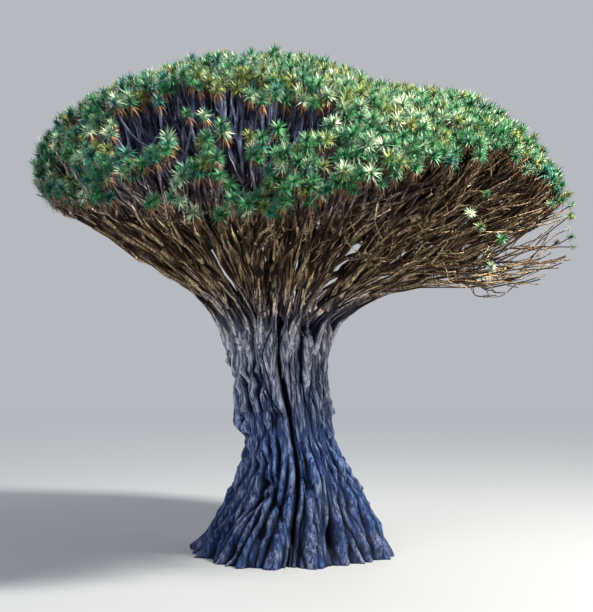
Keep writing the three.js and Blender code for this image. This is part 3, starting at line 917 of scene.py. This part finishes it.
def tuft_tree():
    """Sets a tuft of sword leaves on each point, round its axis, from the lowest leaf to the most upright."""
    tree, given, names = start_tree("tufts", {
        "Leaves": "Int", "Leaf Length": "Float", "Leaf Width": "Float", "Lowest": "Float", "Highest": "Float",
        "Droop": "Float", "Seed": "Int", "Material": "Material",
    })

    def chance(low, high, seed):
        spread = add_node(tree, "FunctionNodeRandomValue", data_type="FLOAT")
        spread.inputs[2].default_value = low
        spread.inputs[3].default_value = high
        tree.links.new(add(tree, given["Seed"], float(seed)), spread.inputs["Seed"])
        return spread.outputs[1]

    def rotation(**angles):
        return add_node(tree, "FunctionNodeEulerToRotation", {0: vector(tree, **angles)}).outputs[0]

    number = add_node(tree, "GeometryNodeInputIndex").outputs[0]
    share = math_node(tree, "DIVIDE", add(tree, number, 0.5), given["Leaves"])
    lift = add(tree, remap(tree, share, 0.0, 1.0, given["Lowest"], given["Highest"]), chance(-0.14, 0.14, 1))
    turn = add(tree, multiply(tree, number, GOLDEN_ANGLE), chance(-0.3, 0.3, 2))
    leaves = add_node(tree, "GeometryNodeInstanceOnPoints", {
        "Points": add_node(tree, "GeometryNodePoints", {"Count": given["Leaves"]}).outputs[0],
        "Instance": sword_leaf(tree, given), "Rotation": rotation(X=lift, Z=turn),
        "Scale": chance(0.8, 1.12, 3),
    }).outputs[0]
    tuft = add_node(tree, "GeometryNodeRealizeInstances", {"Geometry": leaves}).outputs[0]
    axis = read(tree, "axis", "FLOAT_VECTOR")
    upright = add_node(tree, "FunctionNodeAlignRotationToVector", {"Vector": axis}, axis="Z").outputs[0]
    stand = add_node(tree, "FunctionNodeRotateRotation", {
        "Rotation": upright, "Rotate By": rotation(Z=chance(0.0, math.tau, 4)),
    }, rotation_space="LOCAL").outputs[0]
    tufts = add_node(tree, "GeometryNodeInstanceOnPoints", {
        "Points": given["Geometry"], "Instance": tuft, "Rotation": stand, "Scale": read(tree, "size"),
    }).outputs[0]
    finish_tree(tree, tufts, given["Material"])
    return tree, names


def grow(name, source, tree, **values):
    """Runs a geometry node tree on a curve or mesh, and returns the result as one plain mesh object."""
    nodes, identifiers = tree
    holder = bpy.data.objects.new(f"{name}_lines", source)
    bpy.context.scene.collection.objects.link(holder)
    modifier = holder.modifiers.new("grow", "NODES")
    modifier.node_group = nodes
    for label, value in values.items():
        modifier[identifiers[label.replace("_", " ").title()]] = value
    graph = bpy.context.evaluated_depsgraph_get()
    mesh = bpy.data.meshes.new_from_object(holder.evaluated_get(graph), depsgraph=graph)
    mesh.name = name
    bpy.data.objects.remove(holder)
    return place_piece(name, mesh)


def place_piece(name, mesh):
    piece = bpy.data.objects.new(name, mesh)
    bpy.context.scene.collection.objects.link(piece)
    return piece


def lines_curve(name, lines):
    """A curve with one straight-sided spline for each line of points and radii."""
    curve = bpy.data.curves.new(name, "CURVE")
    curve.dimensions = "3D"
    for points, radii in lines:
        spline = curve.splines.new("POLY")
        spline.points.add(len(points) - 1)
        spline.points.foreach_set("co", np.column_stack([points, np.ones(len(points))]).ravel())
        spline.points.foreach_set("radius", radii)
    return curve


# Materials


def start_material(name, roughness, sheen=0.5):
    material = bpy.data.materials.new(name)
    material.use_nodes = True
    shader = material.node_tree.nodes["Principled BSDF"]
    shader.inputs["Roughness"].default_value = roughness
    shader.inputs["Specular IOR Level"].default_value = sheen
    return material, material.node_tree, shader


def object_place(tree, stretch=(1, 1, 1)):
    place = add_node(tree, "ShaderNodeTexCoord").outputs["Object"]
    return add_node(tree, "ShaderNodeMapping", {"Vector": place, "Scale": stretch}).outputs[0]


def mix(tree, share, first, second, blend="MIX"):
    node = add_node(tree, "ShaderNodeMix", data_type="RGBA", blend_type=blend)
    for socket, value in ((0, share), (6, first), (7, second)):
        if isinstance(value, bpy.types.NodeSocket):
            tree.links.new(value, node.inputs[socket])
        else:
            node.inputs[socket].default_value = value
    return node.outputs[2]


def colour(red, green, blue):
    return (red, green, blue, 1.0)


def attribute(tree, name):
    return add_node(tree, "ShaderNodeAttribute", attribute_name=name).outputs["Fac"]


def add_bump(tree, shader, height, distance):
    bump = add_node(tree, "ShaderNodeBump", {"Height": height, "Distance": distance})
    tree.links.new(bump.outputs[0], shader.inputs["Normal"])


# Painted shade for crevices and cracks: bluish on the trunk and stems, as in sky light, brown on the limbs
SHADE_BLUE = colour(0.001, 0.003, 0.012)
SHADE_BROWN = colour(0.004, 0.0025, 0.0015)
# The bark's body colours and their lit copies, which paint highlights on the crests. The first four are grey
# bark under a painted bluish shade, as in sky light, deepest on the roots
ROOT_BARK_IN_SKY_SHADE = colour(0.004, 0.012, 0.05)
ROOT_BARK_IN_SKY_SHADE_LIT = colour(0.05, 0.1, 0.26)
BARK_IN_SKY_SHADE = colour(0.014, 0.04, 0.14)
BARK_IN_SKY_SHADE_LIT = colour(0.28, 0.4, 0.72)
BARK_GREY = colour(0.06, 0.076, 0.125)
BARK_GREY_LIT = colour(0.82, 0.8, 0.86)
BARK_BROWN = colour(0.055, 0.03, 0.015)
BARK_BROWN_LIT = colour(1.0, 0.76, 0.46)
# Grey stems under a painted lavender shade where leaves shade them, and their lit copy
STEM_GREY_IN_SHADE = colour(0.07, 0.08, 0.13)
STEM_LIT = colour(0.48, 0.52, 0.78)


def along_axis(tree, axis, low, high):
    """0 at low and 1 at high along an axis of the tree."""
    place = add_node(tree, "ShaderNodeTexCoord").outputs["Object"]
    return remap(tree, add_node(tree, "ShaderNodeSeparateXYZ", {0: place}).outputs[axis], low, high)


# Where one colour of the bark gives way to the next: heights, and how far right the stems' colour reaches
ROOT_TO_WAIST = (1.2, 4.2)
WAIST_TO_HEAD = (3.6, 6.8)
HEAD_TO_LIMB = (7.2, 9.2)
LIMB_TO_STEM = (11.0, 13.5)
STEM_TO_RIGHT = (4.5, 1.5)
HEAD_BLOTCHES = (0.42, 0.62)
BLOTCH_SHARE = 0.2

# How the bark's hollowness, from 0 to 1, and its cracks light and shade it
LIT_CREST = (0.44, 0.04)
DARK_HOLLOW = (0.45, 0.8)
DARK_CRACK = (0.28, 0.46)
CRACK_SHADE = 0.75


def by_place(tree, blotches, root, waist, head, limb, stem):
    """Grey bark under a painted bluish shade, as in sky light: deep blue on the roots, blue-grey above, then
    grey under the boughs, brown where they part, and grey stems under a painted lavender shade near the tips,
    where leaves shade them, except on the bare right."""
    low = mix(tree, along_axis(tree, "Z", *ROOT_TO_WAIST), root, waist)
    low = mix(tree, remap(tree, blotches, *HEAD_BLOTCHES, 0.0, BLOTCH_SHARE), low, head)
    low = mix(tree, along_axis(tree, "Z", *WAIST_TO_HEAD), low, head)
    near_tips = multiply(tree, along_axis(tree, "Z", *LIMB_TO_STEM), along_axis(tree, "X", *STEM_TO_RIGHT))
    high = mix(tree, near_tips, limb, stem)
    return mix(tree, along_axis(tree, "Z", *HEAD_TO_LIMB), low, high)


def bark(name, streak_scale, streak_stretch, crack_scale, relief, lit_streaks=(0.42, 0.66), tones=None):
    """Bark with painted highlights on its crests, painted shade that makes its crevices and cracks near
    black, and streaks that run along it. Tones is how dark and how light whole limbs or twigs are beside each
    other,
    at random: a painted shade and light among them."""
    material, tree, shader = start_material(name, 0.85, 0.15)
    streaks = noise(tree, object_place(tree, (1, 1, streak_stretch)), streak_scale, 5.0, 0.65)
    blotches = noise(tree, object_place(tree), 1.1)
    cracks = noise(tree, object_place(tree, (1, 1, 0.4)), crack_scale, 5.0, 0.7)
    dark = by_place(tree, blotches, ROOT_BARK_IN_SKY_SHADE, BARK_IN_SKY_SHADE, BARK_GREY, BARK_BROWN, STEM_GREY_IN_SHADE)
    lit = by_place(tree, blotches, ROOT_BARK_IN_SKY_SHADE_LIT, BARK_IN_SKY_SHADE_LIT, BARK_GREY_LIT, BARK_BROWN_LIT, STEM_LIT)
    shade = by_place(tree, blotches, SHADE_BLUE, SHADE_BLUE, SHADE_BLUE, SHADE_BROWN, SHADE_BLUE)
    hollow = attribute(tree, "hollow")
    # Painted highlights on the crests, then painted shade in the hollows and cracks
    crest = multiply(tree, remap(tree, hollow, *LIT_CREST), remap(tree, streaks, *lit_streaks))
    skin = mix(tree, crest, dark, lit)
    skin = mix(tree, remap(tree, hollow, *DARK_HOLLOW), skin, shade)
    skin = mix(tree, remap(tree, cracks, *DARK_CRACK, CRACK_SHADE, 0.0), skin, shade)
    # Whole limbs or twigs darker or lighter at random: a painted shade and light among them
    if tones:
        tone = remap(tree, attribute(tree, "tone"), 0.0, 1.0, *tones)
        skin = mix(tree, 1.0, skin, vector(tree, X=tone, Y=tone, Z=tone), "MULTIPLY")
    tree.links.new(skin, shader.inputs["Base Color"])
    add_bump(tree, shader, add(tree, cracks, multiply(tree, streaks, 2.0)), relief)
    return material


LIGHT_PATCH = (0.44, 0.66)


def leaf_skin(name, deep, light, roughness=0.45):
    """Leathery sword leaves, one base colour for each kind of tuft, a little lighter here and there. On the
    pale kind the lighter places are a painted whitish highlight.
    """
    material, tree, shader = start_material(name, roughness)
    patches = noise(tree, object_place(tree), 4.0, 3.0)
    tree.links.new(mix(tree, remap(tree, patches, *LIGHT_PATCH), deep, light), shader.inputs["Base Color"])
    add_bump(tree, shader, noise(tree, object_place(tree), 60.0), 0.004)
    return material


# Pieces


def dress(piece, slot, *nodes):
    """A piece stands in the place of these nodes. The slot is not used."""
    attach(piece, "root")
    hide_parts(*nodes)


def make_trunk():
    around, heights, radius, hollow = trunk_surface()
    lean = trunk_lean(np.minimum(heights, FORK_HEIGHT))
    x = lean[:, None] + radius * np.cos(around)
    y = radius * np.sin(around)
    z = np.broadcast_to(heights[:, None], radius.shape)
    points = np.stack([x, y, z], axis=-1).reshape(-1, 3)
    foot = len(points)
    points = np.vstack([points, (0, 0, 0), (lean[-1], 0, HEAD_HEIGHT)])
    here = np.arange(TRUNK_AROUND)
    ahead = np.roll(here, -1)
    faces = []
    for level in range(TRUNK_LEVELS - 1):
        low, high = level * TRUNK_AROUND, (level + 1) * TRUNK_AROUND
        faces += np.column_stack([low + here, low + ahead, high + ahead, high + here]).tolist()
    last = (TRUNK_LEVELS - 1) * TRUNK_AROUND
    faces += np.column_stack([ahead, here, np.full(TRUNK_AROUND, foot)]).tolist()
    faces += np.column_stack([last + here, last + ahead, np.full(TRUNK_AROUND, foot + 1)]).tolist()
    mesh = bpy.data.meshes.new("trunk_bark")
    mesh.from_pydata(points.tolist(), [], faces)
    mesh.attributes.new("hollow", "FLOAT", "POINT").data.foreach_set("value", [*hollow.ravel(), 0.5, 0.5])
    mesh.shade_smooth()
    mesh.materials.append(bark("fluted bark", 10.0, 0.16, 26.0, 0.06))
    dress(place_piece("trunk_bark", mesh), "trunk_bark", "trunk")


BOUGH_STEPS = 3
BOUGH_CROOK = 0.05
BOUGH_SHAPE = {"sides": 18, "relief": 0.55, "strand_length": 1.3}


def make_boughs(limbs, tree):
    skin = bark("bough bark", 12.0, 0.16, 30.0, 0.04, (0.34, 0.6), (0.3, 1.7))
    for name, lines in limbs.items():
        curve = lines_curve(name, [smooth_line(line, BOUGH_STEPS, BOUGH_CROOK) for line in lines])
        piece = grow(f"bough_{name}_bark", curve, tree, material=skin, **BOUGH_SHAPE)
        dress(piece, "limb_bark", f"bough_{name}")


TWIG_KINDS = (
    {"name": "twigs_stout", "from": 0.08, "sides": 7, "steps": 3},
    {"name": "twigs_slim", "from": 0.042, "sides": 5, "steps": 2},
    {"name": "twigs_fine", "from": 0.0, "sides": 4, "steps": 2},
)
TWIG_CROOK = 0.07
TWIG_SHAPE = {"relief": 0.25, "strand_length": 0.6}


def make_twigs(twigs, tree, foliage_nodes):
    skin = bark("twig bark", 16.0, 0.4, 40.0, 0.02, (0.38, 0.62), (0.3, 1.7))
    limit = math.inf
    for kind in TWIG_KINDS:
        chosen = [twig for twig in twigs if kind["from"] <= twig["radii"][0] < limit]
        limit = kind["from"]
        curve = lines_curve(kind["name"], [smooth_line(twig, kind["steps"], TWIG_CROOK) for twig in chosen])
        piece = grow(kind["name"], curve, tree, sides=kind["sides"], material=skin, **TWIG_SHAPE)
        dress(piece, "limb_bark", *foliage_nodes)


# The pale kind's light colour is a painted whitish highlight, as of sun on glossy leaves; the deep kind's
# blue-green is partly a painted shade
TUFTS = {
    "leaves_deep": {"deep": colour(0.006, 0.065, 0.048), "light": colour(0.05, 0.29, 0.19)},
    "leaves_green": {"deep": colour(0.012, 0.075, 0.03), "light": colour(0.07, 0.3, 0.11)},
    "leaves_pale_sunlit": {"deep": colour(0.04, 0.16, 0.08), "light": colour(0.7, 0.78, 0.52)},
    "leaves_yellow": {"deep": colour(0.035, 0.075, 0.018), "light": colour(0.32, 0.36, 0.08)},
}
TUFT_SHAPE = {
    "leaves": 52, "leaf_length": 0.35, "leaf_width": 0.045, "lowest": -0.45, "highest": 1.45, "droop": 0.22,
}
DRY_TONES = {"deep": colour(0.09, 0.035, 0.014), "light": colour(0.31, 0.145, 0.05)}
DRY_SHAPE = {
    "leaves": 18, "leaf_length": 0.42, "leaf_width": 0.055, "lowest": -1.4, "highest": -0.5, "droop": 0.3,
}
DRY_DROP = 0.08
SPRIG_SHARE = 0.12
SPRIG_DEPTH = 0.9
SPRIG_SIZE = 0.6
SUNNY_TURN = math.radians(310)


def tuft_kind(tip):
    """Which colour a tuft has: deep below and away from the sun, partly a painted shade; paler on top and
    where the sun comes from, on the right, a painted sunlight.
    """
    roll = dice(tip["key"], 61)
    height = ease(0.1, 1.0, tip["lift"])
    sunny = max(0.0, math.cos(tip["azimuth"] - SUNNY_TURN))
    pale = 0.22 - 0.12 * height + 0.06 * sunny
    yellow = 0.05 + 0.12 * sunny + 0.17 * height
    green = 0.38 + 0.16 * sunny
    for kind, share in (("leaves_pale_sunlit", pale), ("leaves_yellow", yellow), ("leaves_green", green)):
        if roll < share:
            return kind
        roll -= share
    return "leaves_deep"


def is_dry(tip):
    """Dead leaves hang under most tufts, and least on the bright top."""
    return dice(tip["key"], 63) < 0.95 - 0.55 * ease(0.4, 1.2, tip["lift"])


def is_sprig(tip):
    """A bare twig near the rim that still has a few leaves."""
    return not tip["leafy"] and tip["depth"] < SPRIG_DEPTH and dice(tip["key"], 64) < SPRIG_SHARE


def tuft_points(name, tips, drop=0.0):
    mesh = bpy.data.meshes.new(name)
    mesh.from_pydata([(tip["point"] - tip["axis"] * drop).tolist() for tip in tips], [], [])
    axes = np.array([tip["axis"] for tip in tips])
    mesh.attributes.new("axis", "FLOAT_VECTOR", "POINT").data.foreach_set("vector", axes.ravel())
    sizes = [between(0.82, 1.15, tip["key"], 62) * (1 if tip["leafy"] else SPRIG_SIZE) for tip in tips]
    mesh.attributes.new("size", "FLOAT", "POINT").data.foreach_set("value", sizes)
    return mesh


def make_leaves(tips, foliage_nodes):
    tree = tuft_tree()
    leafy = [tip for tip in tips if tip["leafy"] or is_sprig(tip)]
    for seed, (name, tones) in enumerate(TUFTS.items()):
        points = tuft_points(name, [tip for tip in leafy if tuft_kind(tip) == name])
        skin = leaf_skin(name.replace("_", " "), **tones)
        piece = grow(name, points, tree, seed=10 * seed, material=skin, **TUFT_SHAPE)
        dress(piece, "foliage", *foliage_nodes)
    points = tuft_points("leaves_dry", [tip for tip in tips if tip["leafy"] and is_dry(tip)], DRY_DROP)
    skin = leaf_skin("dry leaves", roughness=0.7, **DRY_TONES)
    piece = grow("leaves_dry", points, tree, seed=90, material=skin, **DRY_SHAPE)
    dress(piece, "foliage", *foliage_nodes)


# Studio

CAMERA_PLACE = (0.3, -67.0, 10.5)
CAMERA_AIM = (0.1, 0.0, 8.35)
FRAME_HEIGHT = 20.6
SENSOR = 36.0
BACKDROP = colour(0.76, 0.79, 0.84)
BACKDROP_LIGHT = 0.62
FLOOR_RADIUS = 600.0
FLOOR_SIDES = 96
FLOOR_FADE = (14.0, 60.0)
FLOOR_COLOUR = colour(0.24, 0.25, 0.265)
LIGHTS = (
    {"name": "key", "place": (34, -14, 48), "size": 8, "power": 115000, "tone": (1.0, 0.95, 0.85)},
    {"name": "back", "place": (-10, 55, 45), "size": 30, "power": 18000, "tone": (0.95, 0.97, 1.0)},
    {"name": "fill", "place": (-30, -45, 32), "size": 30, "power": 20000, "tone": (0.9, 0.95, 1.0)},
)
LIGHTS_AIM = (0, 0, 9)


def aim(thing, target):
    away = np.array(thing.location) - np.array(target)
    flat = math.hypot(away[0], away[1])
    thing.rotation_euler = (math.atan2(flat, away[2]), 0, math.atan2(away[0], -away[1]))


def make_camera():
    camera = bpy.data.objects.new("camera", bpy.data.cameras.new("camera"))
    camera.location = CAMERA_PLACE
    aim(camera, CAMERA_AIM)
    distance = math.dist(CAMERA_PLACE, CAMERA_AIM)
    camera.data.sensor_fit = "VERTICAL"
    camera.data.sensor_height = SENSOR
    camera.data.lens = SENSOR * distance / FRAME_HEIGHT
    camera.data.clip_end = 2000
    bpy.context.scene.collection.objects.link(camera)
    bpy.context.scene.camera = camera


def make_light(name, place, size, power, tone):
    lamp = bpy.data.lights.new(name, "AREA")
    lamp.size = size
    lamp.energy = power
    lamp.color = tone
    light = bpy.data.objects.new(name, lamp)
    light.location = place
    aim(light, LIGHTS_AIM)
    bpy.context.scene.collection.objects.link(light)


def floor_skin():
    """Pale ground that fades into the backdrop with distance."""
    material, tree, shader = start_material("floor", 0.9)
    shader.inputs["Base Color"].default_value = FLOOR_COLOUR
    place = add_node(tree, "ShaderNodeTexCoord").outputs["Object"]
    distance = add_node(tree, "ShaderNodeVectorMath", {0: place}, operation="LENGTH").outputs["Value"]
    glow = add_node(tree, "ShaderNodeEmission", {"Color": BACKDROP, "Strength": BACKDROP_LIGHT}).outputs[0]
    fade = remap(tree, distance, *FLOOR_FADE)
    blend = add_node(tree, "ShaderNodeMixShader", {0: fade, 1: shader.outputs[0], 2: glow}).outputs[0]
    tree.links.new(blend, tree.nodes["Material Output"].inputs["Surface"])
    return material


def make_studio():
    world = bpy.data.worlds.new("soft light")
    world.use_nodes = True
    background = world.node_tree.nodes["Background"]
    background.inputs["Color"].default_value = BACKDROP
    background.inputs["Strength"].default_value = BACKDROP_LIGHT
    bpy.context.scene.world = world
    bpy.context.scene.view_settings.view_transform = "Standard"
    for light in LIGHTS:
        make_light(**light)
    mesh = bpy.data.meshes.new("floor")
    ring = [FLOOR_RADIUS * level_direction(math.tau * n / FLOOR_SIDES) for n in range(FLOOR_SIDES)]
    mesh.from_pydata([place.tolist() for place in ring], [], [list(range(FLOOR_SIDES))])
    mesh.materials.append(floor_skin())
    place_piece("floor", mesh)


make_camera()
make_studio()
make_trunk()
limb_lines, twig_lines = build_skeleton()
foliage = sorted(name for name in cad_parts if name.startswith("foliage_"))
limb_nodes = limb_tree()
make_boughs(limb_lines, limb_nodes)
make_twigs(twig_lines, limb_nodes, foliage)
make_leaves([twig["tip"] for twig in twig_lines], foliage)
